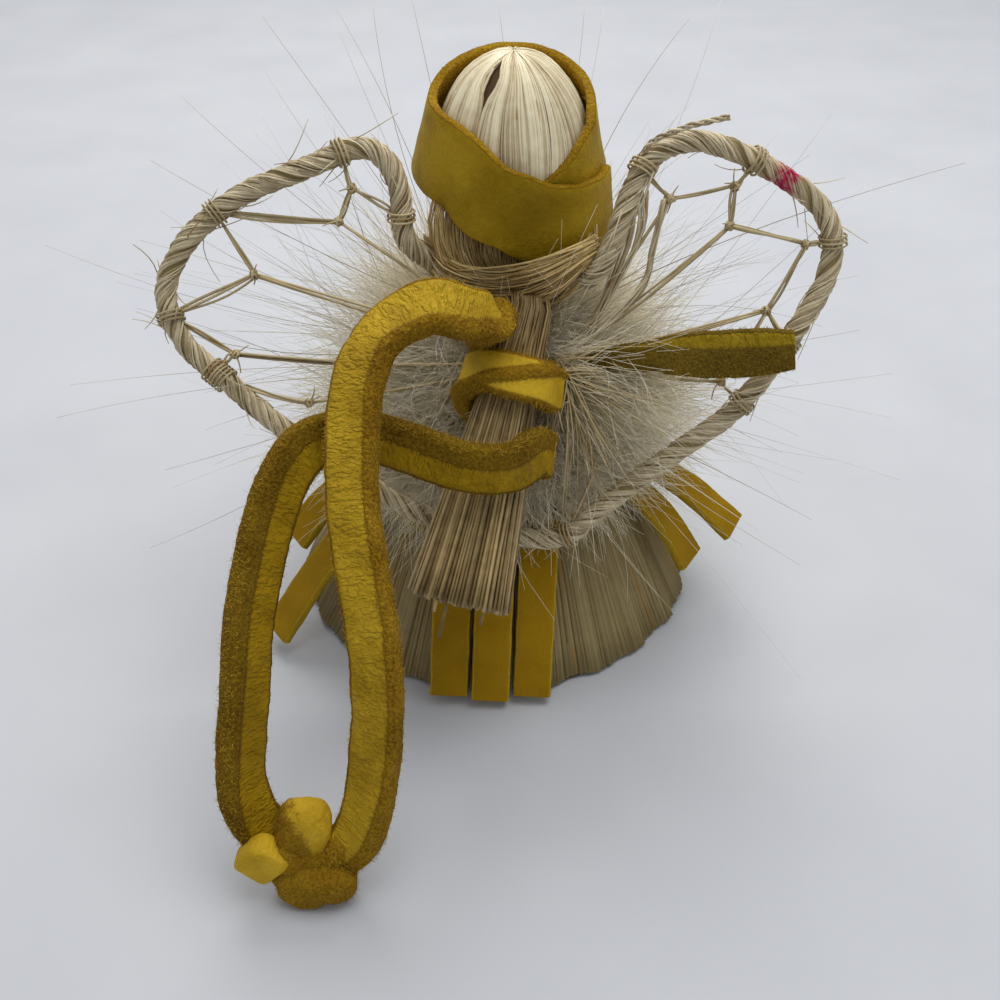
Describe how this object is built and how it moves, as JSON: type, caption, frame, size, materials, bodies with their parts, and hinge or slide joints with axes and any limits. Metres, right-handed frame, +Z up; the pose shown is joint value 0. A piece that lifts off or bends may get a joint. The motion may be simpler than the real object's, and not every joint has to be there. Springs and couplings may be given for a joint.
{
  "type": "corn husk doll",
  "caption": "Free-standing plant-fibre doll with a netted heart-shaped wing hoop, leather headband, fur wrap, leather fringe and a hitched thong hanging loop.",
  "frame": {"origin": "centre of the skirt's flat cut base, on the surface that the doll stands on", "axes": "+Z up through the head; -Y towards the side with the ponytail and the hanging loop (the side the picture shows); +X to the right of that view"},
  "size_m": [0.0661, 0.0749, 0.0607],
  "materials": {
    "straw": "dry plant fibre, slightly glossy strands",
    "pale_wad": "matte fibre wad",
    "gold_leather": "smooth gold face with fuzzy suede edges",
    "white_fur": "long soft guard hair"
  },
  "bodies": {
    "doll": {"body_bundle": "straw", "head_bundle": "straw", "head_wad": "pale_wad", "headband": "gold_leather", "neck_tie": "straw", "wing_hoop": "straw", "wing_web": "straw", "fur_wrap": "white_fur", "waist_band": "gold_leather"},
    "ponytail": {"ponytail": "straw"},
    "thong": {"thong_wrap": "gold_leather", "loop_front_run": "gold_leather", "loop_back_run": "gold_leather", "loop_knot": "gold_leather"},
    "fringe_back_left": {"fringe_back_left": "gold_leather"},
    "fringe_back_middle": {"fringe_back_middle": "gold_leather"},
    "fringe_back_right": {"fringe_back_right": "gold_leather"},
    "fringe_right_near": {"fringe_right_near": "gold_leather"},
    "fringe_right_far": {"fringe_right_far": "gold_leather"},
    "fringe_left_near": {"fringe_left_near": "gold_leather"},
    "fringe_left_far": {"fringe_left_far": "gold_leather"},
    "fringe_front_left": {"fringe_front_left": "gold_leather"},
    "fringe_front_middle": {"fringe_front_middle": "gold_leather"},
    "fringe_front_right": {"fringe_front_right": "gold_leather"},
    "side_strip": {"side_strip": "gold_leather"}
  },
  "joints": [
    {"name": "ponytail_lift", "type": "hinge", "parent": "doll", "child": "ponytail", "pos_m": [0.0028, -0.0076, 0.0408], "axis": [-1, 0, 0], "range_deg": [0, 20]},
    {"name": "thong_turn", "type": "hinge", "parent": "ponytail", "child": "thong", "pos_m": [0.00345, -0.012, 0.0403], "axis": [0.2362, 0.5598, 0.7942], "range_deg": [0, 15]},
    {"name": "fringe_back_left_swing", "type": "hinge", "parent": "doll", "child": "fringe_back_left", "pos_m": [-0.00406, -0.01574, 0.0167], "axis": [-0.9998, 0.0175, 0], "range_deg": [0, 25]},
    {"name": "fringe_back_middle_swing", "type": "hinge", "parent": "doll", "child": "fringe_back_middle", "pos_m": [0.00034, -0.016, 0.0167], "axis": [-0.9998, 0.0175, 0], "range_deg": [0, 25]},
    {"name": "fringe_back_right_swing", "type": "hinge", "parent": "doll", "child": "fringe_back_right", "pos_m": [0.00474, -0.01589, 0.0167], "axis": [-0.9998, 0.0175, 0], "range_deg": [0, 25]},
    {"name": "fringe_right_near_swing", "type": "hinge", "parent": "doll", "child": "fringe_right_near", "pos_m": [0.01506, -0.00732, 0.0167], "axis": [-0.309, -0.9511, 0], "range_deg": [0, 25]},
    {"name": "fringe_right_far_swing", "type": "hinge", "parent": "doll", "child": "fringe_right_far", "pos_m": [0.01666, -0.00237, 0.0167], "axis": [-0.309, -0.9511, 0], "range_deg": [0, 25]},
    {"name": "fringe_left_near_swing", "type": "hinge", "parent": "doll", "child": "fringe_left_near", "pos_m": [-0.01246, -0.00958, 0.0167], "axis": [-0.454, 0.891, 0], "range_deg": [0, 25]},
    {"name": "fringe_left_far_swing", "type": "hinge", "parent": "doll", "child": "fringe_left_far", "pos_m": [-0.01482, -0.00494, 0.0167], "axis": [-0.454, 0.891, 0], "range_deg": [0, 25]},
    {"name": "fringe_front_left_swing", "type": "hinge", "parent": "doll", "child": "fringe_front_left", "pos_m": [0.00529, 0.01574, 0.0167], "axis": [0.9998, -0.0175, 0], "range_deg": [0, 25]},
    {"name": "fringe_front_middle_swing", "type": "hinge", "parent": "doll", "child": "fringe_front_middle", "pos_m": [0.00089, 0.016, 0.0167], "axis": [0.9998, -0.0175, 0], "range_deg": [0, 25]},
    {"name": "fringe_front_right_swing", "type": "hinge", "parent": "doll", "child": "fringe_front_right", "pos_m": [-0.00351, 0.01589, 0.0167], "axis": [0.9998, -0.0175, 0], "range_deg": [0, 25]},
    {"name": "side_strip_swing", "type": "hinge", "parent": "doll", "child": "side_strip", "pos_m": [0.0083, -0.011, 0.0342], "axis": [0, 0, -1], "range_deg": [0, 25]}
  ]
}
